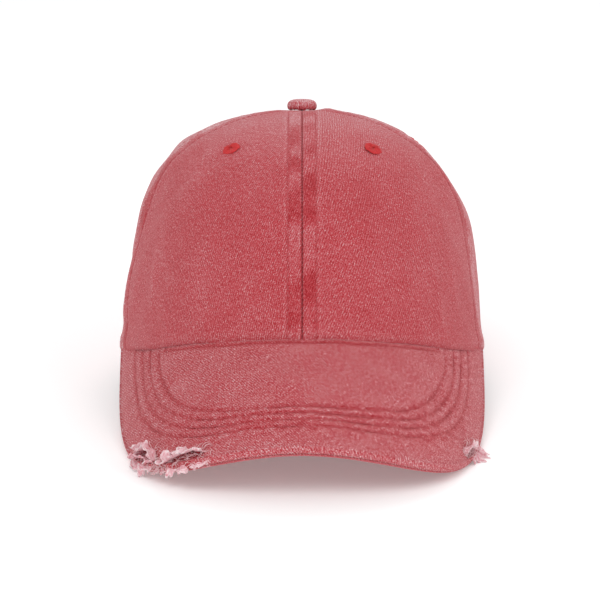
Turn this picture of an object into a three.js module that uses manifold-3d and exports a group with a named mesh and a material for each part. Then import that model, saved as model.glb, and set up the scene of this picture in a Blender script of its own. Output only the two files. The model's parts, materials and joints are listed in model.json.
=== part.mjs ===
// A soft six-panel cap with a curved visor, a covered button, embroidered eyelets, a sweatband, and a
// strap with a clamp buckle at the back.
//
// Millimetres, +Z up. The cap stands on the plane z = 0 on its visor's corners and the back of its rim,
// facing -Y, and +X is on the right as seen from the front. Everything is first laid out in the cap's own
// frame: the rim lies in its plane z = 0, centred on the head opening, with the crown's axis along +Z.
// The outermost group then tips the cap back until it stands.

import * as THREE from 'three';
import { mergeVertices } from 'three/addons/utils/BufferGeometryUtils.js';
import Module from 'manifold-3d';

const wasm = await Module();
wasm.setup();

const { abs, acos, asin, atan2, cos, hypot, max, min, PI, pow, sin, sqrt, tan } = Math;
const degrees = PI / 180;

// ---- driving dimensions ------------------------------------------------------------------------------

const crown = {
  halfWidth: 85.5,
  halfLength: 104,
  height: 114,
  fullness: { side: 2.7, end: 2.2 }, // exponents of the superelliptic sections
  cloth: 1.0, // thickness of a panel
  topHole: 2.4, // radius at the top, where the button's rivet passes
};
const seam = { front: 74 * degrees, back: 127 * degrees, gap: 0.3 };
const arch = { halfWidth: 45, height: 48 }; // the opening at the back

const visor = {
  length: 65.4, // from the crown to the front edge, along the slope at the middle
  slope: 38 * degrees, // downwards from the rim's plane
  bend: 88.5, // radius that it is curved to, side to side
  edgeShape: { across: 3.15, along: 2.25 }, // exponents of the outline
  board: 2.0,
  cover: 0.8,
  margin: 3.5, // from the board's edge to the cover's
  gap: 0.5, // to the crown
};

const band = { height: 32, thickness: 1.3, inset: 2.7, pocketInset: 8.2, lift: 1.0 };
const tape = { halfWidth: 6.5, thickness: 0.7, inset: 1.5, mitre: 22 * degrees, topRadius: 4 };
const binding = { width: 9, thickness: 0.6, inset: 1.4, edgeGap: 0.4 };

const button = { radius: 7, height: 5.4, postRadius: 1.5 };
const eyelet = { hole: 1.2, neck: 2.6, flange: 4.2, lip: 0.8, standoff: 0.75, elevation: 55.5 * degrees };
const eyeletAngles = { front: 37.5 * degrees, side: 107 * degrees, back: 153 * degrees };

const strap = {
  centreY: 28, // the strap follows a circle about this point of the cap's own frame
  outerRadius: 70.7,
  thickness: 1.6,
  bottom: 4.4,
  width: 19,
  halfAngle: 53 * degrees,
};
const strapMiddle = strap.bottom + strap.width / 2;

const buckle = {
  angle: 12 * degrees, // round the strap's circle from the middle of the back
  radius: 69.1, // of its local origin, on the strap's inner face
  halfLength: 11,
  wall: 1.5,
  wallGap: 0.6, // from the strap's edge to the wall
  plate: 1.0,
  pin: { x: 8, y: 3.45, radius: 0.8 },
  bore: 1.1,
  barrel: 1.8,
  loopBar: { x: 13.6, y: 2.8, radius: 0.8 },
};

// ---- materials ---------------------------------------------------------------------------------------

const finish = (name, color, roughness, metalness = 0) =>
  new THREE.MeshStandardMaterial({ name, color, roughness, metalness });
const twill = finish('washed_red_twill', 0xbc545a, 0.9);
const paleTwill = finish('faded_red_twill', 0xc1696f, 0.9);
const thread = finish('red_thread', 0xdc3c3c, 0.7);
const tapeCloth = finish('tape_cloth', 0xa8434a, 0.95);
const board = finish('visor_board', 0xe8e4da, 0.6);
const brass = finish('antique_brass', 0x8a6a3c, 0.4, 1);
const steel = finish('button_metal', 0xb0b0b0, 0.4, 1);

// ---- geometry helpers --------------------------------------------------------------------------------

// Removes everything but positions, so that shared vertices merge.
function positionsOnly(geometry) {
  const bare = geometry.clone();
  bare.deleteAttribute('normal');
  bare.deleteAttribute('uv');
  return mergeVertices(bare, 1e-4);
}

// A slab bent onto a surface: place(u, v, w) gives a point for u, v and w from 0 to 1. The directions of
// growing u, v and w are right-handed.
function slab(acrossSteps, upSteps, place) {
  const box = positionsOnly(new THREE.BoxGeometry(1, 1, 1, acrossSteps, upSteps, 1));
  const at = box.attributes.position;
  for (let i = 0; i < at.count; i += 1) {
    const p = place(at.getX(i) + 0.5, at.getY(i) + 0.5, at.getZ(i) + 0.5);
    at.setXYZ(i, p.x, p.y, p.z);
  }
  box.computeVertexNormals();
  return box;
}

function toManifold(geometry) {
  const solid = positionsOnly(geometry);
  return new wasm.Manifold(new wasm.Mesh({
    numProp: 3,
    vertProperties: new Float32Array(solid.attributes.position.array),
    triVerts: new Uint32Array(solid.index.array),
  }));
}

function fromManifold(manifold) {
  const mesh = manifold.getMesh();
  const geometry = new THREE.BufferGeometry();
  geometry.setAttribute('position', new THREE.BufferAttribute(new Float32Array(mesh.vertProperties), 3));
  geometry.setIndex(new THREE.BufferAttribute(new Uint32Array(mesh.triVerts), 1));
  geometry.computeVertexNormals();
  return geometry;
}

const union = (...pieces) =>
  fromManifold(pieces.map(toManifold).reduce((sum, piece) => sum.add(piece)));
const cut = (body, ...tools) =>
  fromManifold(tools.map(toManifold).reduce((rest, tool) => rest.subtract(tool), toManifold(body)));

// A cylinder along Z.
function rod(radius, length, x = 0, y = 0, sides = 20) {
  const geometry = new THREE.CylinderGeometry(radius, radius, length, sides);
  geometry.rotateX(PI / 2);
  geometry.translate(x, y, 0);
  return geometry;
}

// A turned solid from (radius, height) points that start and end on the axis, or that close on themselves,
// with the solid on the right of the way they run.
function turned(points, sides) {
  const profile = points.map(([r, z]) => new THREE.Vector2(r, z)).reverse();
  const geometry = new THREE.LatheGeometry(profile, sides);
  geometry.rotateX(PI / 2);
  return geometry;
}

function mesh(name, geometry, material) {
  const piece = new THREE.Mesh(geometry, material);
  piece.name = name;
  return piece;
}

// ---- the crown's surface -----------------------------------------------------------------------------

// Angles go round the head opening from the front, towards +X. A section through the axis at any angle is
// a superellipse, fuller at the sides than at the front and back.
const fullness = (angle) =>
  crown.fullness.side + (crown.fullness.end - crown.fullness.side) * cos(angle) ** 2;

// How much the rim's ellipse has shrunk at a height.
const shrink = (angle, z) => {
  const n = fullness(angle);
  return pow(max(0, 1 - pow(max(0, z) / crown.height, n)), 1 / n);
};

// The elevation parameter of a height, and of a distance from the axis.
const elevationAt = (angle, z) => asin(pow(max(0, z) / crown.height, fullness(angle) / 2));
const elevationAtRadius = (angle, radius) => {
  const rim = hypot(crown.halfWidth * sin(angle), crown.halfLength * cos(angle));
  return acos(pow(radius / rim, fullness(angle) / 2));
};

function crownNormal(p) {
  const angle = atan2(p.x / crown.halfWidth, -p.y / crown.halfLength);
  const n = fullness(angle);
  const rho = max(1e-6, hypot(p.x / crown.halfWidth, p.y / crown.halfLength));
  const side = pow(rho, n - 2);
  return new THREE.Vector3(
    side * p.x / crown.halfWidth ** 2,
    side * p.y / crown.halfLength ** 2,
    pow(max(0, p.z) / crown.height, n - 1) / crown.height,
  ).normalize();
}

// A point on the crown, moved inwards along its normal.
function crownPoint(angle, elevation, inset = 0) {
  const power = 2 / fullness(angle);
  const out = pow(max(0, cos(elevation)), power);
  const p = new THREE.Vector3(
    crown.halfWidth * out * sin(angle),
    -crown.halfLength * out * cos(angle),
    crown.height * pow(max(0, sin(elevation)), power),
  );
  return p.addScaledVector(crownNormal(p), -inset);
}

// ---- the visor's surface -----------------------------------------------------------------------------

// It is part of a cylinder whose axis slopes down towards the front. across is the angle round that
// cylinder from its top line, along is the distance down the slope from the middle of the seam, and lift
// is the distance out of the surface.

// Where that cylinder meets an ellipse outset from the rim, at an angle round the head opening. rise is
// the height over the middle of the seam.
function visorSeam(angle, outset = 0) {
  const x = (crown.halfWidth + outset) * sin(angle);
  const back = crown.halfLength - (crown.halfLength + outset) * cos(angle);
  const drop = visor.bend - sqrt(visor.bend ** 2 - x ** 2);
  const rise = (sin(visor.slope) * back - drop) / cos(visor.slope);
  const along = -back * cos(visor.slope) - rise * sin(visor.slope);
  return { across: asin(x / visor.bend), along, rise };
}

// The seam's ends lie in the rim's plane, and its middle stands above it.
const seamRise = -visorSeam(seam.front).rise;
const rimHeight = (angle) => (abs(angle) < seam.front ? seamRise + visorSeam(angle).rise : 0);

const slopeDown = new THREE.Vector3(0, -cos(visor.slope), -sin(visor.slope));
const slopeUpright = new THREE.Vector3(0, -sin(visor.slope), cos(visor.slope));

function visorPoint(across, along, lift = 0) {
  const radius = visor.bend + lift;
  return new THREE.Vector3(radius * sin(across), -crown.halfLength, seamRise)
    .addScaledVector(slopeDown, along)
    .addScaledVector(slopeUpright, radius * cos(across) - visor.bend);
}

// The outline is a superellipse in the flat cloth, from one end of the seam to the other. turn runs from
// -1 to 1, and inset moves the outline inwards.
function visorOutline(turn, inset = 0) {
  const end = visorSeam(seam.front, visor.gap);
  const t = abs(turn) * PI / 2;
  const halfWidth = end.across * visor.bend - inset;
  const width = halfWidth * pow(sin(t), 2 / visor.edgeShape.across);
  const start = end.along + 2.5 * inset;
  const length = (visor.length - inset - start) * pow(cos(t), 2 / visor.edgeShape.along);
  return { across: Math.sign(turn) * width / visor.bend, along: start + length };
}

// A layer of the visor between two lifts. In its last step, which is hem wide, the lifts change to edgeLow
// and edgeHigh.
function visorLayer({ low, high, edgeLow = low, edgeHigh = high, inset = 0, hem = 2.8 }) {
  const steps = 6;
  const hemStart = (steps - 1) / steps;
  return slab(28, steps, (u, v, w) => {
    const turn = 1 - 2 * u;
    const inner = visorSeam(turn * (seam.front - 2 * inset / crown.halfWidth), visor.gap);
    inner.along += inset;
    const atEdge = v > hemStart + 0.5 / steps;
    const outer = visorOutline(turn, inset + (atEdge ? 0 : hem));
    const share = atEdge ? 1 : v / hemStart;
    const [bottom, top] = atEdge ? [edgeLow, edgeHigh] : [low, high];
    return visorPoint(
      inner.across + (outer.across - inner.across) * share,
      inner.along + (outer.along - inner.along) * share,
      bottom + (top - bottom) * w,
    );
  });
}

// ---- panels, tapes and band --------------------------------------------------------------------------

// The lower edge of the crown at an angle, with the arch of the back opening.
const archAngle = arch.halfWidth / crown.halfWidth;

// The rest of a panel's lower edge is even steps of angle, and the arch is even steps round its curve.
function backEdge(u) {
  const share = 0.45; // of the panel's steps lie before the arch
  const archStart = PI - archAngle;
  if (u < share) return { angle: seam.back + (archStart - seam.back) * u / share, z: 0 };
  const t = (u - share) / (1 - share) * PI / 2;
  return { angle: PI - archAngle * cos(t), z: arch.height * sin(t) };
}

function frontEdge(u) {
  const angle = seam.front * u;
  return { angle, z: rimHeight(angle) };
}

const sideEdge = (u) => ({ angle: seam.front + (seam.back - seam.front) * u, z: 0 });

// A panel between two seams, on the +X side: edge(u) gives its lower edge. The left one is its mirror image.
function panelGeometry(edge, [startSeam, endSeam], eyeletAngle) {
  const flat = slab(12, 11, (u, v, w) => {
    const { angle: edgeAngle, z } = edge(u);
    const low = elevationAt(edgeAngle, z);
    const high = elevationAtRadius(edgeAngle, crown.topHole);
    const elevation = low + (high - low) * v;
    const p = crownPoint(edgeAngle, elevation);
    const fromSeam = seam.gap / 2 / hypot(p.x, p.y);
    const angle = min(max(edgeAngle, startSeam + fromSeam), endSeam - fromSeam);
    return crownPoint(angle, elevation, crown.cloth * (1 - w));
  });
  const hole = rod(eyelet.neck + seam.gap, 12, 0, 0, 16);
  hole.applyMatrix4(eyeletFrame(eyeletAngle));
  return cut(flat, hole);
}

// The place of an eyelet: its origin is on the crown's outer face and its Z is the outward normal.
function eyeletFrame(angle) {
  const at = crownPoint(angle, eyelet.elevation);
  const turn = new THREE.Quaternion().setFromUnitVectors(new THREE.Vector3(0, 0, 1), crownNormal(at));
  return new THREE.Matrix4().compose(at, turn, new THREE.Vector3(1, 1, 1));
}

function eyeletGeometry() {
  const under = -crown.cloth - eyelet.standoff;
  return turned([
    [eyelet.hole, under - eyelet.lip],
    [eyelet.hole, eyelet.standoff + eyelet.lip - 0.4],
    [eyelet.hole + 0.4, eyelet.standoff + eyelet.lip],
    [eyelet.flange - 0.5, eyelet.standoff + eyelet.lip],
    [eyelet.flange, eyelet.standoff],
    [eyelet.neck, eyelet.standoff],
    [eyelet.neck, under],
    [eyelet.flange - 0.6, under],
    [eyelet.flange - 0.6, under - eyelet.lip],
    [eyelet.hole, under - eyelet.lip],
  ], 12);
}

// A tape that covers a seam inside the crown, from a height up to the button's plate. Near the top its
// sides are mitred so that the six tapes meet without crossing.
function tapeGeometry(angle, bottom) {
  const low = elevationAt(angle, bottom);
  const high = elevationAtRadius(angle, tape.topRadius + 3);
  return slab(2, 11, (u, v, w) => {
    const elevation = low + (high - low) * v;
    const middle = crownPoint(angle, elevation);
    const radius = hypot(middle.x, middle.y);
    const halfWidth = min(tape.halfWidth, radius * tan(tape.mitre) - 0.4);
    const side = (2 * u - 1) * halfWidth / radius;
    return crownPoint(angle + side, elevation, tape.inset + tape.thickness * (1 - w));
  });
}

// The tape that faces the arch of the back opening, inside the crown. u runs from the right end to the left.
function bindingGeometry() {
  return slab(28, 2, (u, v, w) => {
    const out = binding.edgeGap + binding.width * v;
    const t = PI * u;
    const angle = PI - (arch.halfWidth + out) / crown.halfWidth * cos(t);
    const z = max(band.lift, (arch.height + out) * sin(t));
    return crownPoint(angle, elevationAt(angle, z), binding.inset + binding.thickness * (1 - w));
  });
}

// The sweatband runs round the front from one end of the arch to the other. It stands off the crown
// towards the back, where the strap's ends run behind it.
function sweatbandGeometry() {
  const end = PI - archAngle - 0.03;
  return slab(40, 2, (u, v, w) => {
    const angle = end * (2 * u - 1);
    const z = rimHeight(angle) + band.lift + band.height * v;
    const pocket = THREE.MathUtils.smoothstep(abs(angle), 85 * degrees, 118 * degrees);
    const inset = band.inset + (band.pocketInset - band.inset) * pocket + band.thickness * (1 - w);
    const out = shrink(angle, z);
    return new THREE.Vector3(
      (crown.halfWidth * out - inset) * sin(angle),
      -(crown.halfLength * out - inset) * cos(angle),
      z,
    );
  });
}

// ---- the button --------------------------------------------------------------------------------------

function buttonCoverGeometry() {
  const { radius, height } = button;
  const dome = [];
  for (let i = 0; i <= 6; i += 1) { // from the middle of the top to the widest ring
    const t = i / 6 * PI / 2;
    dome.push([radius * pow(sin(t), 0.75), 2.2 + (height - 2.2) * pow(cos(t), 0.75)]);
  }
  const lining = dome.map(([r, z]) => [max(0, r - 0.8), z - 0.8]).reverse();
  return turned([...dome, [radius - 0.3, 1.1], [radius - 1.2, 0.3], [radius - 2, 0.3],
    [radius - 2, 0.9], [radius - 1.1, 1.2], ...lining], 20);
}

function buttonShellGeometry() {
  const { radius, postRadius } = button;
  const dome = [];
  for (let i = 0; i <= 4; i += 1) {
    const t = i / 4 * PI / 2;
    dome.push([(radius - 1.3) * pow(sin(t), 0.75), 1.7 + (button.height - 2.9) * pow(cos(t), 0.75)]);
  }
  return turned([...dome, [postRadius, 1.5], [postRadius, -4.4], [postRadius + 0.9, -4.4],
    [postRadius + 0.6, -5.1], [0, -5.1]], 16);
}

function buttonPlateGeometry() {
  const bore = button.postRadius + seam.gap;
  return turned([[bore, -4.0], [bore, -3.0], [6.2, -3.0], [6.8, -3.5], [6.2, -4.0], [bore, -4.0]], 16);
}

// ---- the strap and its buckle ------------------------------------------------------------------------

// A point round the strap's circle: turn is 0 at the middle of the back and grows towards +X.
const strapPoint = (turn, radius, z) =>
  new THREE.Vector3(radius * sin(turn), strap.centreY + radius * cos(turn), z);

// A band of cloth round the strap's circle.
const strapSlab = (start, end, inner, outer, bottom, top, steps) =>
  slab(steps, 1, (u, v, w) =>
    strapPoint(end + (start - end) * u, inner + (outer - inner) * w, bottom + (top - bottom) * v));

const strapGeometry = () => strapSlab(
  -strap.halfAngle, strap.halfAngle, strap.outerRadius - strap.thickness, strap.outerRadius,
  strap.bottom, strap.bottom + strap.width, 24,
);

// The buckle's parts share a frame: X along the strap, Y outwards from its inner face, Z across it.
const buckleWallInner = strap.width / 2 + buckle.wallGap;

function buckleFrameGeometry() {
  const { halfLength: end, wall, plate, pin, loopBar } = buckle;
  const base = new THREE.BoxGeometry(2 * end, plate, 2 * buckleWallInner + wall);
  base.translate(0, -1.3 - plate / 2, 0);
  const side = new THREE.Shape();
  side.moveTo(-end, -1.3 - plate);
  side.lineTo(end, -1.3 - plate);
  side.lineTo(end + 1, 0);
  side.absarc(loopBar.x, loopBar.y, 1.8, -PI / 3, PI / 2, false);
  side.lineTo(pin.x, pin.y + 1.9);
  side.absarc(pin.x, pin.y, 1.9, PI / 2, PI * 0.8, false);
  side.lineTo(-end + 2, 1.6);
  side.absarc(-end + 1.6, 0, 1.6, PI / 2, PI, false);
  side.closePath();
  const walls = [-1, 1].map((way) => {
    const geometry = new THREE.ExtrudeGeometry(side, { depth: wall, bevelEnabled: false, curveSegments: 6 });
    geometry.translate(0, 0, way > 0 ? buckleWallInner : -buckleWallInner - wall);
    return geometry;
  });
  const bar = rod(loopBar.radius, 2 * buckleWallInner + wall, loopBar.x, loopBar.y, 12);
  const bore = rod(buckle.bore, 40, pin.x, pin.y);
  return cut(union(base, bar, ...walls), bore);
}

function buckleLeverGeometry() {
  const { halfLength: end, pin } = buckle;
  const width = 2 * (buckleWallInner - 0.4);
  const barrel = rod(buckle.barrel, width, pin.x, pin.y);
  const outline = new THREE.Shape();
  outline.moveTo(pin.x, pin.y - 0.9);
  outline.lineTo(pin.x, pin.y + 0.6);
  outline.quadraticCurveTo(-end / 2, pin.y + 1.1, -end - 1, pin.y + 0.2); // the thumb's end lifts a little
  outline.lineTo(-end - 1, pin.y - 0.8);
  outline.lineTo(-end + 4, 2.0);
  outline.closePath();
  const plate = new THREE.ExtrudeGeometry(outline, { depth: width, bevelEnabled: false, curveSegments: 8 });
  plate.translate(0, 0, -width / 2);
  return cut(union(barrel, plate), rod(buckle.bore, 40, pin.x, pin.y));
}

const bucklePinGeometry = () =>
  rod(buckle.pin.radius, 2 * (buckleWallInner + buckle.wall), buckle.pin.x, buckle.pin.y, 16);

// The cloth loop goes round the frame's bar, and its tail is sewn under the crown's edge. It is laid out
// in the cap's own frame.
function buckleLoopGeometry() {
  const { loopBar } = buckle;
  const width = strap.width - 3;
  const ring = new THREE.Shape().absarc(0, 0, loopBar.radius + 1.1, 0, 2 * PI, false);
  ring.holes.push(new THREE.Path().absarc(0, 0, loopBar.radius + 0.3, 0, 2 * PI, true));
  const eye = new THREE.ExtrudeGeometry(ring, { depth: width, bevelEnabled: false, curveSegments: 10 });
  const centre = strapPoint(0, hypot(buckle.radius + loopBar.y, loopBar.x), 0).y - strap.centreY;
  const turn = buckle.angle + atan2(loopBar.x, buckle.radius + loopBar.y);
  const at = strapPoint(turn, centre, strapMiddle - width / 2);
  eye.translate(at.x, at.y, at.z);
  const under = centre - loopBar.radius - 1.1;
  const tail = strapSlab(turn, 50 * degrees, under, under + 0.75, at.z, at.z + width, 8);
  return union(eye, tail);
}

// ---- assembly ----------------------------------------------------------------------------------------

const cap = new THREE.Group();

const panels = {
  front: panelGeometry(frontEdge, [0, seam.front], eyeletAngles.front),
  side: panelGeometry(sideEdge, [seam.front, seam.back], eyeletAngles.side),
  back: panelGeometry(backEdge, [seam.back, PI], eyeletAngles.back),
};
for (const [place, geometry] of Object.entries(panels)) {
  cap.add(mesh(`panel_${place}_right`, geometry, twill));
  const left = mesh(`panel_${place}_left`, geometry, twill);
  left.scale.x = -1;
  cap.add(left);
}

for (const [place, angle] of Object.entries(eyeletAngles)) {
  for (const [side, way] of [['right', 1], ['left', -1]]) {
    const ring = mesh(`eyelet_${place}_${side}`, eyeletGeometry(), thread);
    ring.applyMatrix4(eyeletFrame(way * angle));
    cap.add(ring);
  }
}

const tapes = {
  front_centre: [0, seamRise + band.lift],
  front_right: [seam.front, band.lift],
  front_left: [-seam.front, band.lift],
  back_right: [seam.back, band.lift],
  back_left: [-seam.back, band.lift],
  back_centre: [PI, arch.height + binding.edgeGap + binding.width + 0.6],
};
for (const [place, [angle, bottom]] of Object.entries(tapes)) {
  cap.add(mesh(`seam_tape_${place}`, tapeGeometry(angle, bottom), tapeCloth));
}
cap.add(mesh('back_opening_binding', bindingGeometry(), tapeCloth));
cap.add(mesh('sweatband', sweatbandGeometry(), paleTwill));

const half = visor.board / 2;
const clear = 0.45;
cap.add(mesh('visor_board', visorLayer({ low: -half, high: half, inset: visor.margin }), board));
cap.add(mesh('visor_top_cover', visorLayer({
  low: half + clear, high: half + clear + visor.cover, edgeLow: clear / 2,
}), paleTwill));
cap.add(mesh('visor_bottom_cover', visorLayer({
  low: -half - clear - visor.cover, high: -half - clear, edgeHigh: -clear / 2,
}), paleTwill));

const top = new THREE.Group();
top.position.set(0, 0, crown.height);
top.add(mesh('button_cover', buttonCoverGeometry(), paleTwill));
top.add(mesh('button_shell', buttonShellGeometry(), steel));
top.add(mesh('button_back_plate', buttonPlateGeometry(), steel));
cap.add(top);

cap.add(mesh('strap', strapGeometry(), twill));
cap.add(mesh('buckle_loop', buckleLoopGeometry(), twill));
const clasp = new THREE.Group();
clasp.position.copy(strapPoint(buckle.angle, buckle.radius, strapMiddle));
clasp.rotation.z = -buckle.angle;
clasp.add(mesh('buckle_frame', buckleFrameGeometry(), brass));
clasp.add(mesh('buckle_lever', buckleLeverGeometry(), brass));
clasp.add(mesh('buckle_pin', bucklePinGeometry(), brass));
cap.add(clasp);

// The cap stands on the lowest line that touches the visor's under side and the rim at the arch's ends.
const undersideLift = -half - clear - visor.cover;
const rimEnd = crownPoint(PI - archAngle, 0);
let tip = 0;
for (let turn = 0; turn <= 1; turn += 0.01) {
  const { across, along } = visorOutline(turn);
  const p = visorPoint(across, along, undersideLift);
  tip = max(tip, atan2(-p.z, rimEnd.y - p.y));
}
const standing = new THREE.Group();
cap.rotation.x = -tip;
cap.position.z = rimEnd.y * sin(tip);
standing.add(cap);

// The origin is under the middle of the whole cap.
const middle = new THREE.Box3().setFromObject(standing, true).getCenter(new THREE.Vector3());
cap.position.x = -middle.x;
cap.position.y = -middle.y;

export default standing;
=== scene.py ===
"""Looks for a soft six-panel cap in garment-washed, distressed red cotton twill.

Shapes are laid out in the cap's own frame, in millimetres: the rim lies in its plane z = 0, centred on
the head opening, the crown's axis is +Z and the front faces -Y. to_row() places them in the row frame,
in metres.
"""

import json
import math

import bpy
import numpy as np
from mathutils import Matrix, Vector


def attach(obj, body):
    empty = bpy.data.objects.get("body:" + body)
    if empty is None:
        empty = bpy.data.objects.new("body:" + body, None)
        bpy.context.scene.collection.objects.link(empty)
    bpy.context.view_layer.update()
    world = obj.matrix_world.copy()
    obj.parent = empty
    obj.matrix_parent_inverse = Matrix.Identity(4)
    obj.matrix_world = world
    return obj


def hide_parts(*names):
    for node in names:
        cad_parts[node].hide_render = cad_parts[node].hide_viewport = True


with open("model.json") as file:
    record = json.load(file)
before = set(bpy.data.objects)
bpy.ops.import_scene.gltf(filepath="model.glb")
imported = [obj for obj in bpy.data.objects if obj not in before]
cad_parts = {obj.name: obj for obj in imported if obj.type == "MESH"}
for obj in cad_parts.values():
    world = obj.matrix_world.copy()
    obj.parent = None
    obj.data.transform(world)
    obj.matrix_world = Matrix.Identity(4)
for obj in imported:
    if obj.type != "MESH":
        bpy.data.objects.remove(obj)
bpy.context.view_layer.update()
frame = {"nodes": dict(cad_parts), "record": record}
DEG = math.pi / 180

# ---- the cap's own frame

opening = next(m for m in frame["record"]["mounts"] if m["name"] == "head_opening")
ORIGIN = np.array(opening["pos_m"])
UP = -np.array(opening["axis"])
RIGHT = np.array([1.0, 0.0, 0.0])
BACK = np.cross(UP, RIGHT)


def to_row(p):
    """Points in the cap's frame, in mm, as places in the row frame, in metres."""
    p = np.asarray(p, float)
    return ORIGIN + (p[..., :1] * RIGHT + p[..., 1:2] * BACK + p[..., 2:3] * UP) / 1000


def rest_on_floor(p, least=0.35):
    """Points that would sink into the floor are laid on it instead."""
    height = to_row(p)[..., 2] * 1000
    return p + np.maximum(0, least - height)[..., None] * np.array([RIGHT[2], BACK[2], UP[2]])


# ---- camera, floor and lights

CAMERA_ELEVATION = 16.45 * DEG
CAMERA_DISTANCE = 1.30
FIELD = 0.2857  # width that the view covers at the target
SENSOR = 36
target = Vector(ORIGIN) + Vector((-0.00095, 0, 0.0244))
toward = Vector((0, -math.cos(CAMERA_ELEVATION), math.sin(CAMERA_ELEVATION)))
lens = bpy.data.cameras.new("camera")
lens.sensor_width = SENSOR
lens.lens = SENSOR * CAMERA_DISTANCE / FIELD
camera = bpy.data.objects.new("camera", lens)
camera.location = target + toward * CAMERA_DISTANCE
camera.rotation_mode = "QUATERNION"
camera.rotation_quaternion = (-toward).to_track_quat("-Z", "Y")
bpy.context.scene.collection.objects.link(camera)
bpy.context.scene.camera = camera
bpy.context.scene.view_settings.view_transform = "Standard"
bpy.context.scene.view_settings.look = "None"


def light(name, at, size, power, aim=(0, 0, 0.06)):
    lamp = bpy.data.lights.new(name, "AREA")
    lamp.shape = "DISK"
    lamp.size = size
    lamp.energy = power
    thing = bpy.data.objects.new(name, lamp)
    thing.location = at
    thing.rotation_mode = "QUATERNION"
    thing.rotation_quaternion = (Vector(aim) - Vector(at)).to_track_quat("-Z", "Y")
    bpy.context.scene.collection.objects.link(thing)


light("key", (-0.35, -1.1, 1.5), 1.1, 9.5)
light("fill", (0.9, -1.0, 0.9), 1.0, 3.8)
light("rim", (0.2, 1.1, 1.3), 1.0, 4)
sky = bpy.data.worlds.new("studio")
sky.use_nodes = True
sky.node_tree.nodes["Background"].inputs["Color"].default_value = (1, 1, 1, 1)
sky.node_tree.nodes["Background"].inputs["Strength"].default_value = 0.62
bpy.context.scene.world = sky

# ---- small numeric tools


def smooth(x, a, b):
    t = np.clip((x - a) / (b - a), 0, 1)
    return t * t * (3 - 2 * t)


def bump(x, middle, width):
    return np.exp(-(((x - middle) / width) ** 2))


def ripple(p, size, seed, count=9):
    """Smooth noise of about unit size whose waves are about size long. p is (..., k)."""
    rng = np.random.default_rng(seed)
    p = np.asarray(p, float)
    total = np.zeros(p.shape[:-1])
    for _ in range(count):
        way = rng.normal(size=p.shape[-1])
        way *= 2 * math.pi / (np.linalg.norm(way) * size * rng.uniform(0.7, 1.5))
        total += np.sin(p @ way + rng.uniform(0, 2 * math.pi))
    return total / math.sqrt(count / 2)


def unit(v):
    return v / np.maximum(np.linalg.norm(v, axis=-1, keepdims=True), 1e-9)


def along(p, axis):
    """Length run along an axis of a grid of points, from its first line."""
    step = np.linalg.norm(np.diff(p, axis=axis), axis=-1)
    pad = [(0, 0), (0, 0)]
    pad[axis] = (1, 0)
    return np.cumsum(np.pad(step, pad), axis=axis)


def grid_normals(p):
    return unit(np.cross(np.gradient(p, axis=0), np.gradient(p, axis=1)))


def crossing(distance, d, points):
    """The line across a grid's rows where their rising distance is d."""
    return np.array([[np.interp(d, distance[i], points[i, :, k]) for k in range(3)]
                     for i in range(len(points))])


def edge_drop(distance, radius):
    """How far a rounded edge has dropped at a distance from its end."""
    inside = np.clip(radius - distance, 0, radius)
    return radius - np.sqrt(np.maximum(radius**2 - inside**2, 0))


def closing(start, stop, count, fine=(0, 0.12, 0.3, 0.6, 1.1), unit_size=1.0):
    """Values from start to stop, with fine steps near both ends."""
    fine = np.array(fine) * unit_size
    middle = np.linspace(start + fine[-1], stop - fine[-1], count)
    return np.concatenate([start + fine[:-1], middle, (stop - fine[:-1])[::-1]])


# ---- meshes


def shell(outer, inner, open_cells=None, flip=False):
    """Points and faces of a closed sheet between two grids. Cells in open_cells become walled holes."""
    n, m = outer.shape[:2]
    index = np.arange(n * m).reshape(n, m)
    cells = np.stack([index[:-1, :-1], index[1:, :-1], index[1:, 1:], index[:-1, 1:]], -1)
    keep = np.ones(cells.shape[:2], bool) if open_cells is None else ~open_cells
    around = np.pad(keep, 1)
    faces = [cells[keep], cells[keep][:, ::-1] + n * m]
    for di, dj, p, q in ((-1, 0, 3, 0), (1, 0, 1, 2), (0, -1, 0, 1), (0, 1, 2, 3)):
        beside = around[1 + di:1 + di + keep.shape[0], 1 + dj:1 + dj + keep.shape[1]]
        edge = cells[keep & ~beside]
        faces.append(np.stack([edge[:, q], edge[:, p], edge[:, p] + n * m, edge[:, q] + n * m], -1))
    faces = np.concatenate(faces)
    if flip:
        faces = faces[:, ::-1]
    return np.concatenate([outer.reshape(-1, 3), inner.reshape(-1, 3)]), faces


def piece(name, body, material, points, faces, fade_and_shade=None, cloth=None, replaces=()):
    """A mesh object from points in the cap's frame. The colour shift, which holds fading and painted shade,
    and cloth are per point, for the cloths.
    """
    points = np.asarray(points, float)
    used, faces = np.unique(np.asarray(faces), return_inverse=True)
    faces = faces.reshape(-1, 4)
    data = bpy.data.meshes.new(name)
    data.from_pydata(to_row(points[used]).tolist(), [], faces.tolist())
    data.shade_smooth()
    if fade_and_shade is None:
        fade_and_shade = np.zeros(len(points))
    if cloth is None:
        cloth = points
    made = data.attributes.new("fade_and_shade", "FLOAT", "POINT")
    made.data.foreach_set("value", np.asarray(fade_and_shade, np.float32).reshape(-1)[used])
    made = data.attributes.new("cloth", "FLOAT_VECTOR", "POINT")
    made.data.foreach_set("vector", np.asarray(cloth, np.float32).reshape(-1, 3)[used].reshape(-1))
    data.materials.append(material)
    thing = bpy.data.objects.new(name, data)
    bpy.context.scene.collection.objects.link(thing)
    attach(thing, body)
    if replaces:
        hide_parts(*replaces)
    return thing


def weave_coordinates(u, v, turn):
    """Cloth coordinates turned so that x runs across the twill's ribs."""
    c, s = math.cos(turn), math.sin(turn)
    return np.stack([u * c + v * s, v * c - u * s, np.zeros_like(u)], -1)


def both(a):
    """Values of a grid for the two faces of its shell."""
    return np.concatenate([a.reshape(-1, *a.shape[2:])] * 2)


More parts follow.
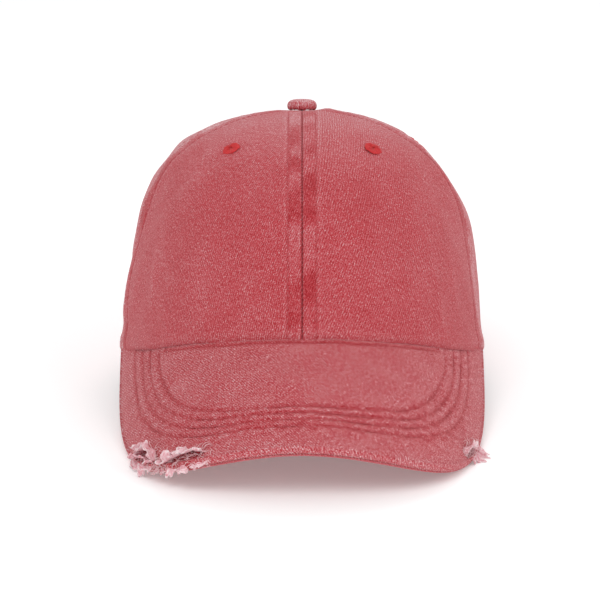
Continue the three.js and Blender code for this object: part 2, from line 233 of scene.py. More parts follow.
def beads(centres, tangents, normals, length, radius, lift=0.45, sides=6, rings=7, seed=1, jitter=0.1):
    """Short threads that rise from the cloth and dive back in: points and faces."""
    rng = np.random.default_rng(seed)
    centres, tangents, normals = (np.asarray(a, float).reshape(-1, 3) for a in (centres, tangents, normals))
    count = len(centres)
    turn = rng.normal(0, jitter, (count, 1))
    across = unit(np.cross(normals, tangents))
    tangents = unit(tangents) * np.cos(turn) + across * np.sin(turn)
    across = unit(np.cross(normals, tangents))
    t = np.linspace(-1, 1, rings)
    a = np.linspace(0, 2 * math.pi, sides, endpoint=False)
    thick = radius * np.sqrt(np.maximum(1 - np.abs(t) ** 3.5, 0.05))
    x = np.repeat(t * length / 2, sides)
    y = (thick[:, None] * np.cos(a)).reshape(-1)
    z = (thick[:, None] * np.sin(a)).reshape(-1) + np.repeat(radius * (lift - 1.1 * t**4), sides)
    size = rng.uniform(0.88, 1.1, (count, 1, 1))
    points = centres[:, None] + (x[:, None] * tangents[:, None] * size + y[:, None] * across[:, None]
                                 + z[:, None] * normals[:, None])
    return points.reshape(-1, 3), tube_faces(count, rings, sides)


def tube_faces(count, rings, sides):
    """Faces of equal tubes of 4 or 6 sides, with closed ends."""
    i = np.arange(rings - 1)[:, None] * sides
    j = np.arange(sides)[None]
    k = (j + 1) % sides
    body = np.stack([i + j, i + k, i + k + sides, i + j + sides], -1).reshape(-1, 4)
    ends = np.array([[0, 3, 2, 1], [0, 5, 4, 3]][:sides // 2 - 1])
    top = ends[:, ::-1] + (rings - 1) * sides
    one = np.concatenate([body, ends, top])
    return (one[None] + np.arange(count)[:, None, None] * rings * sides).reshape(-1, 4)


def run_of(path, normals, pitch):
    """Evenly spaced centres, tangents and normals along a line of points."""
    path, normals = np.asarray(path), np.asarray(normals)
    run = np.concatenate([[0], np.cumsum(np.linalg.norm(np.diff(path, axis=0), axis=1))])
    at = np.arange(0.5 * pitch, run[-1] - 0.5 * pitch, pitch)

    def place(a, x):
        return np.stack([np.interp(x, run, a[:, k]) for k in range(3)], -1)

    return place(path, at), unit(place(path, at + 0.3) - place(path, at - 0.3)), unit(place(normals, at))


class Threads:
    """Stitches that go to one object."""

    def __init__(self):
        self.points, self.faces, self.count = [], [], 0

    def add(self, points, faces):
        self.points.append(points)
        self.faces.append(faces + self.count)
        self.count += len(points)

    def row(self, path, normals, pitch=3.1, length=2.5, radius=0.26, seed=1, **more):
        self.add(*beads(*run_of(path, normals, pitch), length, radius, seed=seed, **more))

    def make(self, name, body, material):
        return piece(name, body, material, np.concatenate(self.points), np.concatenate(self.faces))


# ---- materials


class Graph:
    """A node material with short calls for what the cloths need."""

    def __init__(self, name):
        self.material = bpy.data.materials.new(name)
        self.material.use_nodes = True
        self.tree = self.material.node_tree
        self.shader = self.tree.nodes["Principled BSDF"]

    def node(self, kind, inputs=(), **settings):
        made = self.tree.nodes.new(kind)
        for key, value in settings.items():
            setattr(made, key, value)
        for key, value in dict(inputs).items():
            self.put(made.inputs[key], value)
        return made

    def put(self, socket, value):
        if isinstance(value, bpy.types.NodeSocket):
            self.tree.links.new(value, socket)
        else:
            socket.default_value = value

    def math(self, operation, a, b=0.0):
        return self.node("ShaderNodeMath", {0: a, 1: b}, operation=operation).outputs[0]

    def add(self, *values):
        total = values[0]
        for value in values[1:]:
            total = self.math("ADD", total, value)
        return total

    def times(self, a, b):
        return self.math("MULTIPLY", a, b)

    def around(self, value, by, middle):
        """middle, moved by a value times by."""
        made = self.math("MULTIPLY_ADD", value, by)
        made.node.inputs[2].default_value = middle
        return made

    def attribute(self, name, output):
        return self.node("ShaderNodeAttribute", attribute_name=name).outputs[output]

    def scaled(self, vector, by):
        return self.node("ShaderNodeVectorMath", {0: vector, 1: by}, operation="MULTIPLY").outputs[0]

    def noise(self, vector, scale, detail=2.0, rough=0.55):
        """Noise from about -1 to 1."""
        made = self.node("ShaderNodeTexNoise", {"Vector": vector, "Scale": scale, "Detail": detail,
                                                "Roughness": rough})
        limits = {"From Min": 0.3, "From Max": 0.7, "To Min": -1.0, "To Max": 1.0}
        return self.node("ShaderNodeMapRange", {"Value": made.outputs["Fac"], **limits}).outputs[0]

    def ramp(self, value, stops):
        made = self.node("ShaderNodeValToRGB", {"Fac": value})
        elements = made.color_ramp.elements
        while len(elements) < len(stops):
            elements.new(0.5)
        for element, (at, color) in zip(elements, stops):
            element.position = at
            element.color = (*color, 1)
        return made.outputs["Color"]

    def relief(self, height, distance, strength=1.0):
        made = self.node("ShaderNodeBump", {"Height": height, "Distance": distance, "Strength": strength})
        self.put(self.shader.inputs["Normal"], made.outputs["Normal"])

    def finish(self, roughness, sheen=0.0, specular=0.5, tint=None):
        values = {"Roughness": roughness, "Sheen Weight": sheen, "Specular IOR Level": specular}
        for key, value in values.items():
            self.put(self.shader.inputs[key], value)
        if tint:
            self.shader.inputs["Sheen Tint"].default_value = (*tint, 1)
            self.shader.inputs["Sheen Roughness"].default_value = 0.5
        return self.material


def srgb(*values):
    return tuple(((v / 255 + 0.055) / 1.055) ** 2.4 if v > 10 else v / 255 / 12.92 for v in values)


# From the darkest red, which dyed hollows and painted shade use, to bare, washed-out cotton.
REDS = [(0.0, srgb(146, 24, 32)), (0.22, srgb(178, 46, 54)), (0.42, srgb(191, 70, 77)),
        (0.6, srgb(196, 98, 105)), (0.8, srgb(208, 146, 151)), (1.0, srgb(234, 202, 204))]
PITCH = 1.0  # between the twill's ribs


def washed_twill(name, tone, contrast=1.0, ribs=0.10):
    """Garment-washed cotton twill: diagonal ribs, heathered flecks, cloudy fading, and the per-point colour
    shift that holds worn ridges and painted shade.
    """
    g = Graph(name)
    cloth = g.attribute("cloth", "Vector")
    place = g.node("ShaderNodeTexCoord").outputs["Object"]
    split = g.node("ShaderNodeSeparateXYZ", {0: cloth})
    wander = g.noise(cloth, 0.16, 1.0)
    phase = g.times(g.add(split.outputs["X"], g.times(wander, 0.16)), 2 * math.pi / PITCH)
    rib = g.math("SINE", phase)
    floats = g.noise(g.scaled(cloth, (1.4, 0.5, 1.0)), 1.0, 2.0, 0.7)
    fleck = g.noise(g.scaled(cloth, (1.9, 1.1, 1.0)), 1.0, 3.0, 0.75)
    salt = g.noise(cloth, 3.1, 2.0, 0.8)
    cloud = g.noise(place, 42.0, 2.0, 0.5)
    mottle = g.noise(place, 190.0, 2.0, 0.6)
    shares = ((rib, ribs), (floats, 0.15), (fleck, 0.30), (salt, 0.36), (cloud, 0.012), (mottle, 0.018))
    value = g.add(g.attribute("fade_and_shade", "Fac"), tone, *(g.times(part, by * contrast) for part, by in shares))
    g.put(g.shader.inputs["Base Color"], g.ramp(value, REDS))
    heights = ((rib, 0.5), (floats, 0.35), (fleck, 0.5), (salt, 0.3))
    g.relief(g.add(*(g.times(part, by) for part, by in heights)), 0.00016, 0.7)
    return g.finish(0.93, sheen=0.42, specular=0.15, tint=srgb(235, 190, 192))


def plain_weave(name, tone, thread=0.45, stops=REDS):
    """Plain-woven cloth: over and under in both directions."""
    g = Graph(name)
    cloth = g.attribute("cloth", "Vector")
    split = g.node("ShaderNodeSeparateXYZ", {0: cloth})
    over = g.math("SINE", g.times(split.outputs["X"], math.pi / thread))
    under = g.math("SINE", g.times(split.outputs["Y"], math.pi / thread))
    weave = g.times(over, under)
    fleck = g.noise(g.scaled(cloth, (1.2, 1.2, 1.0)), 1.0, 3.0, 0.7)
    cloud = g.noise(cloth, 0.07, 2.0, 0.5)
    value = g.add(g.attribute("fade_and_shade", "Fac"), tone, g.times(weave, 0.08), g.times(fleck, 0.07),
                  g.times(cloud, 0.05))
    g.put(g.shader.inputs["Base Color"], g.ramp(value, stops))
    g.relief(g.add(weave, g.times(fleck, 0.4)), 0.00014, 0.7)
    return g.finish(0.95, sheen=0.12, specular=0.15, tint=srgb(230, 180, 182))


def thread_finish(name, dark, light_color, sheen=0.25):
    """Twisted cotton thread."""
    g = Graph(name)
    place = g.node("ShaderNodeTexCoord").outputs["Object"]
    strands = g.noise(place, 2600.0, 2.0, 0.7)
    cloud = g.noise(place, 300.0, 1.0)
    tone = g.around(g.add(strands, g.times(cloud, 0.7)), 0.22, 0.5)
    g.put(g.shader.inputs["Base Color"], g.ramp(tone, [(0.0, dark), (1.0, light_color)]))
    g.relief(strands, 0.00008, 0.6)
    return g.finish(0.7, sheen=sheen, specular=0.3, tint=srgb(240, 170, 170))


def metal(name, color, dark, roughness):
    """Metal with a brushed grain and darker, rougher tarnish in patches."""
    g = Graph(name)
    place = g.node("ShaderNodeTexCoord").outputs["Object"]
    grain_value = g.noise(g.scaled(place, (1.0, 1.0, 0.06)), 900.0, 3.0, 0.7)
    tarnish = g.noise(place, 260.0, 4.0, 0.65)
    tone = g.around(g.add(tarnish, g.times(grain_value, 0.3)), 0.3, 0.5)
    g.put(g.shader.inputs["Base Color"], g.ramp(tone, [(0.1, dark), (0.7, color)]))
    g.put(g.shader.inputs["Roughness"], g.around(tarnish, -0.07, roughness))
    g.relief(g.add(grain_value, g.times(tarnish, 0.5)), 0.00003, 0.5)
    g.shader.inputs["Metallic"].default_value = 1.0
    return g.material


def board_plastic(name):
    """Flexible moulded sheet with a fine pebbled face."""
    g = Graph(name)
    place = g.node("ShaderNodeTexCoord").outputs["Object"]
    pebble = g.noise(place, 1500.0, 2.0)
    cloud = g.noise(place, 60.0, 2.0)
    tone = g.around(cloud, 0.25, 0.5)
    stops = [(0.0, srgb(214, 209, 196)), (1.0, srgb(236, 232, 222))]
    g.put(g.shader.inputs["Base Color"], g.ramp(tone, stops))
    g.relief(pebble, 0.00005, 0.5)
    return g.finish(0.55, specular=0.4)


FRONT = washed_twill("washed_red_twill", 0.405, 1.12, 0.09)
SIDE = washed_twill("washed_red_twill_sides", 0.645, 1.05, 0.05)
VISOR = washed_twill("washed_red_twill_visor", 0.455, 1.4, 0.075)
UNDER = washed_twill("washed_red_twill_underside", 0.44, 0.9)
BAND = washed_twill("washed_red_twill_band", 0.5, 0.9)
TAPE = plain_weave("red_cotton_tape", 0.3)
FRAY = plain_weave("bare_cotton", 0.72, 0.5, [(0.0, srgb(188, 70, 80)), (0.35, srgb(212, 124, 134)),
                                              (0.7, srgb(234, 180, 188)), (1.0, srgb(250, 230, 232))])
STITCH = thread_finish("faded_red_thread", srgb(150, 44, 50), srgb(205, 98, 104))
BRIGHT = thread_finish("bright_red_thread", srgb(176, 26, 34), srgb(226, 66, 68), 0.35)
LINT = thread_finish("frayed_thread", srgb(214, 140, 148), srgb(252, 238, 238), 0.4)
BRASS = metal("antique_brass", srgb(166, 128, 72), srgb(88, 64, 36), 0.38)
STEEL = metal("tinned_steel", srgb(196, 196, 194), srgb(140, 140, 138), 0.4)
BOARD = board_plastic("visor_board_plastic")

g = Graph("studio_floor")
patches = g.around(g.noise(g.node("ShaderNodeTexCoord").outputs["Object"], 3.0), 0.1, 0.5)
g.put(g.shader.inputs["Base Color"], g.ramp(patches, [(0.0, (0.93,) * 3), (1.0, (0.95,) * 3)]))
g.shader.inputs["Emission Color"].default_value = (1, 1, 1, 1)
g.shader.inputs["Emission Strength"].default_value = 0.2
FLOOR = g.finish(0.9, specular=0.1)
floor_mesh = bpy.data.meshes.new("floor")
reach = 6.0
floor_mesh.from_pydata([(-reach, -reach, 0), (reach, -reach, 0), (reach, reach, 0), (-reach, reach, 0)], [],
                       [(0, 1, 2, 3)])
floor_mesh.materials.append(FLOOR)
floor = bpy.data.objects.new("floor", floor_mesh)
bpy.context.scene.collection.objects.link(floor)

# ---- the crown's surface

A, B, H = 85.5, 104.0, 114.0  # half width, half length and height of the crown
CLOTH = 1.0
TOP_HOLE = 2.4
FRONT_SEAM, BACK_SEAM = 74 * DEG, 127 * DEG
ARCH_W, ARCH_H = 45.0, 48.0
ARCH_ANGLE = ARCH_W / A


def fullness(angle):
    return 2.7 - 0.5 * np.cos(angle) ** 2


def elevation_at(angle, z):
    return np.arcsin((np.maximum(0, z) / H) ** (fullness(angle) / 2))


def elevation_at_radius(angle, radius):
    rim = np.hypot(A * np.sin(angle), B * np.cos(angle))
    return np.arccos((radius / rim) ** (fullness(angle) / 2))


def shrink(angle, z):
    n = fullness(angle)
    return np.maximum(0, 1 - (np.maximum(0, z) / H) ** n) ** (1 / n)


def crown_normal(p):
    x, y, z = p[..., 0], p[..., 1], p[..., 2]
    n = fullness(np.arctan2(x / A, -y / B))
    side = np.maximum(1e-6, np.hypot(x / A, y / B)) ** (n - 2)
    return unit(np.stack([side * x / A**2, side * y / B**2, (np.maximum(0, z) / H) ** (n - 1) / H], -1))


def crown_point(angle, elevation, inset=0.0):
    angle, elevation = np.broadcast_arrays(np.asarray(angle, float), np.asarray(elevation, float))
    power = 2 / fullness(angle)
    out = np.maximum(0, np.cos(elevation)) ** power
    p = np.stack([A * out * np.sin(angle), -B * out * np.cos(angle),
                  H * np.maximum(0, np.sin(elevation)) ** power], -1)
    return p - crown_normal(p) * np.asarray(inset)[..., None]


# ---- the visor's surface

SLOPE, BEND = 38 * DEG, 88.5
V_LENGTH, V_GAP = 65.4, 0.5
ACROSS_POWER, ALONG_POWER = 2 / 3.15, 2 / 2.25


def visor_seam(angle, outset=0.0):
    x = (A + outset) * np.sin(angle)
    back = B - (B + outset) * np.cos(angle)
    drop = BEND - np.sqrt(BEND**2 - x**2)
    rise = (math.sin(SLOPE) * back - drop) / math.cos(SLOPE)
    return np.arcsin(x / BEND), -back * math.cos(SLOPE) - rise * math.sin(SLOPE), rise


SEAM_RISE = -float(visor_seam(FRONT_SEAM)[2])
DOWN = np.array([0, -math.cos(SLOPE), -math.sin(SLOPE)])
UPRIGHT = np.array([0, -math.sin(SLOPE), math.cos(SLOPE)])


def rim_height(angle):
    inside = np.minimum(np.abs(angle), FRONT_SEAM)
    return np.where(np.abs(angle) < FRONT_SEAM, SEAM_RISE + visor_seam(inside)[2], 0)


def visor_point(across, run, lift):
    across, run, lift = np.broadcast_arrays(across, run, lift)
    tuck = smooth(np.abs(across), 0.85, 1.15) * (1 - smooth(run, -50, -22))
    run = run - 4.2 * tuck
    radius = BEND + lift - 0.4 * smooth(np.abs(across), 0.7, 1.1) * smooth(run, -62, -24)
    start = np.stack([radius * np.sin(across), np.full_like(radius, -B), np.full_like(radius, SEAM_RISE)], -1)
    return start + run[..., None] * DOWN + (radius * np.cos(across) - BEND)[..., None] * UPRIGHT


# ---- crown panels

EYELETS = {"front": 37.5 * DEG, "side": 107 * DEG, "back": 153 * DEG}
EYELET_ELEVATION = 55.5 * DEG
TOPSTITCH = 6.4  # from a seam to the rows that hold its turned-in edges


def arch_distance(p, angle):
    """Distance from the arched opening's edge, over the crown."""
    across = A * (math.pi - np.abs(angle))
    return (np.hypot(across / ARCH_W, p[..., 2] / ARCH_H) - 1) * (ARCH_W + ARCH_H) / 2


def seam_relief(d, s, power, worn, seed):
    """Height and fading beside a sewn seam: d from it, s up it."""
    place = np.stack([s, d * 1.4], -1)
    pucker = ripple(place, 9.0, seed)
    fine = ripple(place, 3.6, seed + 1)
    blotch = np.tanh(1.5 * ripple(np.stack([s, d * 0.5], -1), 19.0, seed + 2)) * worn
    inside = smooth(d, 0.3, 1.2) * (1 - smooth(d, 5.6, 6.4))
    height = -0.31 * bump(d, 0, 0.42) + inside * (0.24 + 0.07 * pucker + 0.03 * fine)
    height += -0.16 * bump(d, TOPSTITCH, 0.6) + bump(d, TOPSTITCH + 2.2, 1.6) * (0.08 + 0.05 * pucker)
    fade_and_shade = -0.20 * bump(d, 0, 0.45) + 0.07 * bump(d, 1.1, 0.5) * (0.6 + 0.4 * fine)
    fade_and_shade += inside * (0.13 * blotch + 0.03 * fine - 0.06)
    fade_and_shade += -0.08 * bump(d, TOPSTITCH, 0.6) + 0.09 * bump(d, TOPSTITCH + 1.2, 0.8)
    return height * power, fade_and_shade * power


def crown_relief(p, angle, s, d_start, d_end, side, place):
    """Height over the smooth crown and fading, from the seams, folds and wear."""
    z = p[..., 2]
    off_centre = np.hypot(p[..., 0], p[..., 1])
    q = p * np.array([1.0, 1.0, 0.45])
    turn = np.abs(angle)
    sides = smooth(turn, 50 * DEG, 80 * DEG)
    height = ripple(q, 34, 11) * (0.28 + 0.45 * sides) + ripple(q, 15, 12) * (0.10 + 0.16 * sides)
    height *= smooth(z, 4, 30) * (1 - 0.7 * smooth(z, 95, 110))
    fade_and_shade = 0.014 * ripple(q, 26, 13) + 0.010 * ripple(p, 9, 14)
    # paler towards the top of the crown, and a little on the sides
    fade_and_shade += 0.15 * smooth(z, 84, 112) + 0.02 * sides
    folds = np.sin(turn / (5.2 * DEG) + 0.03 * z) * bump(turn, 86 * DEG, 14 * DEG) * bump(z, 42, 26)
    # gathered cloth by the button
    beside = bump(np.hypot(p[..., 0] - 12.0, (p[..., 1] - 1.0) * 0.5), 0, 3.2)
    off_axis = smooth(off_centre, 8, 26)
    height += 0.9 * beside + 0.75 * folds - 0.42 * smooth(z, 96, 112) * off_axis \
        - 0.9 * bump(np.degrees(angle), -88, 22) * bump(z, 50, 18)
    fade_and_shade += 0.05 * folds
    # soft creases pressed into the front and its corners
    creases = ((49, 14, 48, 0.6), (57, 26, 52, 0.5), (-54, 22, 56, 0.8), (-46, 6, 22, 0.4))
    for middle, low, high, size in creases:
        line = bump(np.degrees(angle) + 0.06 * (z - low), middle, 1.1)
        line = line * smooth(z, low - 6, low + 4) * (1 - smooth(z, high - 8, high + 4))
        height += 0.5 * size * line
        fade_and_shade += 0.10 * size * line
    calm = smooth(off_centre, 6.5, 17)
    for k, (d, seam_seed) in enumerate(((d_start, 31), (d_end, 41))):
        worn = 1.0 if k == 0 and place < 2 else 0.55
        h, f = seam_relief(d, s, calm, worn, seam_seed + (0 if side > 0 else 5) + 10 * place)
        height, fade_and_shade = height + h, fade_and_shade + f
    return height, fade_and_shade


def panel_grid(place):
    """A crown panel's angles, the heights of its lower edge there, and the angles of its two seams."""
    fine = np.array([0, 0.35, 0.8, 1.3, 2.0, 3.0, 4.2, 5.2, 5.9, 6.4, 6.9, 7.7, 9.0, 10.4])
    if place == "front":
        scale = A * DEG
        first = fine / scale
        last = 74 - fine[::-1] / (B * 0.92 * DEG)
        degrees = np.concatenate([first, np.linspace(first[-1], last[0], 56)[1:-1], last])
        angle = degrees * DEG
        return angle, rim_height(angle), 0.0, FRONT_SEAM
    if place == "side":
        first = 74 + fine / (B * 0.97 * DEG)
        last = 127 - fine[::-1] / (B * 0.9 * DEG)
        degrees = np.concatenate([first, np.linspace(first[-1], last[0], 46)[1:-1], last])
        return degrees * DEG, np.zeros(len(degrees)), FRONT_SEAM, BACK_SEAM
    start = math.pi - ARCH_ANGLE
    first = BACK_SEAM + fine / (B * 0.9)
    lead = np.concatenate([first, np.linspace(first[-1], start, 14)[1:]])
    t = np.concatenate([np.array([0.02, 0.045, 0.08]), np.linspace(0.12, math.pi / 2, 42)])
    last = math.pi - fine[::-1] / A
    arch = math.pi - ARCH_ANGLE * np.cos(t)
    arch = np.sort(np.concatenate([arch[arch < last[0] - 0.008], last]))
    turn = np.arccos(np.clip((math.pi - arch) / ARCH_ANGLE, 0, 1))
    return np.concatenate([lead, arch]), np.concatenate([np.zeros(len(lead)), ARCH_H * np.sin(turn)]), \
        BACK_SEAM, math.pi


def eyelet_place(angle):
    at = crown_point(angle, EYELET_ELEVATION)
    normal = crown_normal(at)
    across = unit(np.cross(np.array([0, 0, 1.0]), normal))
    return at, normal, across, np.cross(normal, across)


crown_threads = Threads()
seam_threads = Threads()
HEM_OUT, HEM_UP = 1.3, 0.8  # how far the hem stands out and is raised over the visor's ends


def make_panel(place, way, order):
    angles, low_z, start, end = panel_grid(place)
    low = elevation_at(angles, low_z)
    high = elevation_at_radius(angles, TOP_HOLE)
    rows = np.array([0, 0.25, 0.6, 1.1, 1.9, 2.8, 3.8, 4.9, 6.2]) / 150
    v = np.concatenate([rows, np.linspace(rows[-1], 1, 112)[1:]])
    elevation = low[:, None] + (high - low)[:, None] * v[None]
    p = crown_point(angles[:, None], elevation)
    gap = 0.05 / np.hypot(p[..., 0], p[..., 1])
    angle = np.clip(angles[:, None], start + gap, end - gap)
    p = crown_point(way * angle, elevation)
    n = crown_normal(p)
    s, d = along(p, 1), along(p, 0)
    d_start, d_end = d, d[-1:] - d
    height, fade_and_shade = crown_relief(p, way * angle, s, d_start, d_end, way, order)
    edge = np.minimum(np.minimum(d_start, d_end), s)
    if place == "front":
        roll = smooth(s, 3.0, 4.6) * (1 - smooth(s, 7, 17))
        height += 0.75 * roll - 0.2 * (1 - smooth(s, 2.6, 3.6))
        fade_and_shade += 0.05 * bump(s, 5.5, 2.0)
    else:
        if place == "back":
            from_arch = arch_distance(p, angle)
            hem = np.maximum(np.where(low_z[:, None] > 0, from_arch, np.minimum(s, from_arch)), 0)
            edge = np.minimum(np.minimum(d_start, d_end), hem)
        else:
            hem = s
        inside = smooth(hem, 0.3, 1.2) * (1 - smooth(hem, 6.2, 7.6))
        wave = ripple(np.stack([d * 1.0, hem * 1.5], -1), 7.5, 71 + order)
        height += inside * (0.30 + 0.16 * wave) - 0.30 * bump(hem, 6.9, 0.8) - 0.25 * bump(hem, 2.0, 0.7)
        fade_and_shade += inside * 0.09 * wave + 0.16 * (1 - smooth(hem, 0.3, 1.6)) - 0.07 * bump(hem, 6.9, 0.9)
    drop = edge_drop(edge, 0.4)
    # the hem over the visor's ends
    turn = np.abs(angle)
    hang = (1 - smooth(s, 1.0, 15.0)) * smooth(turn, 58 * DEG, 73 * DEG)
    hang = hang * (1 - smooth(turn, 82 * DEG, 100 * DEG))
    p = p + n * (HEM_OUT * hang)[..., None] + np.array([0, 0, HEM_UP]) * hang[..., None]
    outer = p + n * (height - drop)[..., None]
    inner = p + n * (height * 0.8 - CLOTH + drop)[..., None]
    mid = (p[1:, 1:] + p[:-1, :-1]) / 2
    centre = eyelet_place(way * EYELETS[place])[0]
    hole = np.linalg.norm(mid - centre, axis=-1) < 2.1
    points, faces = shell(outer, inner, hole, flip=way < 0)
    middle = d[len(angles) // 2][None]
    lean = {"front": 62 if way > 0 else 80, "side": 55, "back": 60}[place] * DEG
    cloth = weave_coordinates(way * (d - middle), s, lean - math.pi / 2)
    side_name = "right" if way > 0 else "left"
    made = piece(f"{place}_panel_{side_name}", "cap", FRONT if place == "front" else SIDE,
                 points, faces, both(fade_and_shade), both(cloth), [f"panel_{place}_{side_name}"])
    # the panel's outer surface, with its relief
    surface = p + n * height[..., None]
    # topstitching beside both seams
    first = 5 if place == "front" else 2
    for step, distance in ((1, d_start), (-1, d_end)):
        part = (slice(None, None, step), slice(first, -9))
        at, at_n = (crossing(distance[part].T, TOPSTITCH, kind[part].swapaxes(0, 1))
                    for kind in (surface, n))
        crown_threads.row(at, at_n, pitch=3.0, length=2.35, radius=0.24, lift=0.15,
                          seed=order * 7 + step + 1)
    # the seam's own thread, deep in the groove, laid once for each seam
    lines = [(0, 50)] if way > 0 or place != "front" else []
    if place == "back" and way > 0:
        lines.append((-1, 60))
    for i, seed in lines:
        seam_threads.row(surface[i, 3:-6] - n[i, 3:-6] * 0.15, n[i, 3:-6], pitch=2.05, length=1.25,
                         radius=0.22, lift=0.1, seed=order + seed)


for order, (place, way) in enumerate([(a, b) for a in ("front", "side", "back") for b in (1, -1)]):
    make_panel(place, way, order)

# rows along the lower edge and round the arch, up one side and down the other
for k, inset in enumerate((2.0, 6.9)):
    for way in (1, -1):
        turns = np.linspace(FRONT_SEAM + 0.02, math.pi - ARCH_ANGLE - inset / A, 60)
        z = np.full(60, inset)
        t = np.linspace(0.10, math.pi / 2, 40)
        turns = np.concatenate([turns, math.pi - (ARCH_W + inset) / A * np.cos(t)])
        z = np.concatenate([z, (ARCH_H + inset) * np.sin(t)])
        line = crown_point(way * turns, elevation_at(turns, z), -0.12)
        crown_threads.row(line, crown_normal(line), pitch=3.1, length=2.4, radius=0.25, lift=0.3,
                          seed=201 + k * 2 + way)

crown_threads.make("crown_topstitching", "cap", STITCH)
# the seam's own thread has a finish much darker than the other threads: painted shade of the seam's groove
seam_threads.make("crown_seam_thread", "cap",
                  thread_finish("seam_thread_painted_shade", srgb(92, 22, 30), srgb(150, 44, 52), 0.05))

# ---- visor

seam_across, seam_run, _ = visor_seam(FRONT_SEAM, V_GAP)
HALF = float(seam_across) * BEND  # half width of the flat cloth
EDGE_RADIUS = 2.25
# Insets of the four stitch rows from the edge, at the sides and at the middle of the front.
ROWS = [(17.8, 14.0), (24.3, 18.2), (29.8, 22.2), (36.4, 26.0)]


def seam_run_at(across):
    """Where the crown's seam is along the slope, at a flat distance across."""
    angle = np.arcsin(np.clip(BEND * np.sin(np.abs(across) / BEND) / (A + V_GAP), -1, 1))
    return visor_seam(np.minimum(angle, FRONT_SEAM), V_GAP)[1]


def visor_line(t, side_inset, front_inset):
    """Flat position on a curve that runs inside the outline. t is from -1 to 1."""
    half = HALF - side_inset
    a = np.abs(t) * math.pi / 2
    start = seam_run_at(half)
    along_power = 2 / (2 / ALONG_POWER - 0.017 * front_inset)  # rounder further in
    across = np.sign(t) * half * np.sin(a) ** ACROSS_POWER
    return across, start + (V_LENGTH - front_inset - start) * np.cos(a) ** along_power


def visor_columns(count):
    """Values of t that space the outline's points evenly."""
    t = np.linspace(0, 1, 4001) ** 2
    x, y = visor_line(t, 0, 0)
    run = np.concatenate([[0], np.cumsum(np.hypot(np.diff(x), np.diff(y)))])
    even = np.interp(np.linspace(0, run[-1], count // 2 + 1), run, t)
    return np.concatenate([-even[:0:-1], even])


def visor_levels():
    """Insets (side, front) of the grid's lines, from the edge inwards."""
    lines = []
    previous = (EDGE_RADIUS, EDGE_RADIUS)
    for i, row in enumerate(ROWS):
        count = 9 if i == 0 else 3
        for k in range(count):
            share = k / count
            lines.append([a + (b - 1.0 - a) * share for a, b in zip(previous, row)])
        for step in (-1.0, -0.55, 0, 0.55):
            lines.append([b + step for b in row])
        previous = [b + 1.0 for b in row]
    lines.append(previous)
    return lines


# Torn places on the visor's edge: middle and half width, along it from the front's middle, and reach in.
TEARS = [(-79.0, 9.0, 10.0), (-54.0, 13.0, 9.0), (99.0, 9.0, 7.0)]
t_columns = visor_columns(240)
edge_x, edge_y = visor_line(t_columns, 0, 0)
edge_run = np.concatenate([[0], np.cumsum(np.hypot(np.diff(edge_x), np.diff(edge_y)))])
edge_run -= edge_run[len(t_columns) // 2]


def tear_mask(run, inset):
    mask = np.zeros(np.broadcast(run, inset).shape)
    for middle, half, reach_in in TEARS:
        r = np.sqrt(((run - middle) / half) ** 2 + (inset / reach_in) ** 2)
        mask = np.maximum(mask, 1 - smooth(r, 0.7, 1.1))
    return mask


def visor_grid():
    """The grid of one face of the visor, from the crown's seam to the middle of its edge: flat places on
    the board and on the cloth, lifts, insets from the edge and distances from the nearest stitch row."""
    levels = visor_levels()
    lines = []

    def add(line, lift, inset, groove, cut=None):
        lines.append(np.broadcast_arrays(*line, *(cut or line), lift, inset, groove))

    # inner field, from the crown to the innermost stitch row
    in_side, in_front = levels[-1]
    ax, ay = visor_line(t_columns, in_side, in_front)
    sx = ax * (HALF - in_side - 3.0) / (HALF - in_side)
    sy = seam_run_at(sx)
    reach = np.maximum(1, np.hypot(ax - sx, ay - sy))
    tucked_in = [-3.0, -1.4, -0.5]  # past the seam, behind the crown's hem
    shares = np.concatenate([[0, 0.012, 0.03, 0.055], np.linspace(0.085, 1, 25)[:-1]])
    for share in [back / reach for back in tucked_in] + list(shares):
        left = np.hypot((ax - sx) * (1 - share), (ay - sy) * (1 - share))
        add((sx + (ax - sx) * share, sy + (ay - sy) * share), EDGE_RADIUS, 40.0, left + 1.0)
    for side_inset, front_inset in reversed(levels):
        near = min(abs(side_inset - a) for a, _ in ROWS)
        add(visor_line(t_columns, side_inset, front_inset), EDGE_RADIUS,
            side_inset * 0.5 + front_inset * 0.5, near)
    for k in range(1, 7):
        turn = k / 6 * (math.pi / 2) * 0.97
        inset = EDGE_RADIUS * (1 - math.sin(turn))
        flat = EDGE_RADIUS * (1 - turn)
        add(visor_line(t_columns, inset, inset), EDGE_RADIUS * math.cos(turn), inset, 9.0,
            visor_line(t_columns, flat, flat))
    x, y, cut_x, cut_y, lift, inset, groove = np.pad(np.stack(lines, -1), ((0, 0), (2, 2), (0, 0)), "edge")
    for kind in (y, cut_y):
        kind[[0, -1]] -= 3.4
        kind[[1, -2]] -= 1.2
    return x, y, np.stack([cut_x, cut_y], -1), lift, inset, groove


visor_threads = Threads()


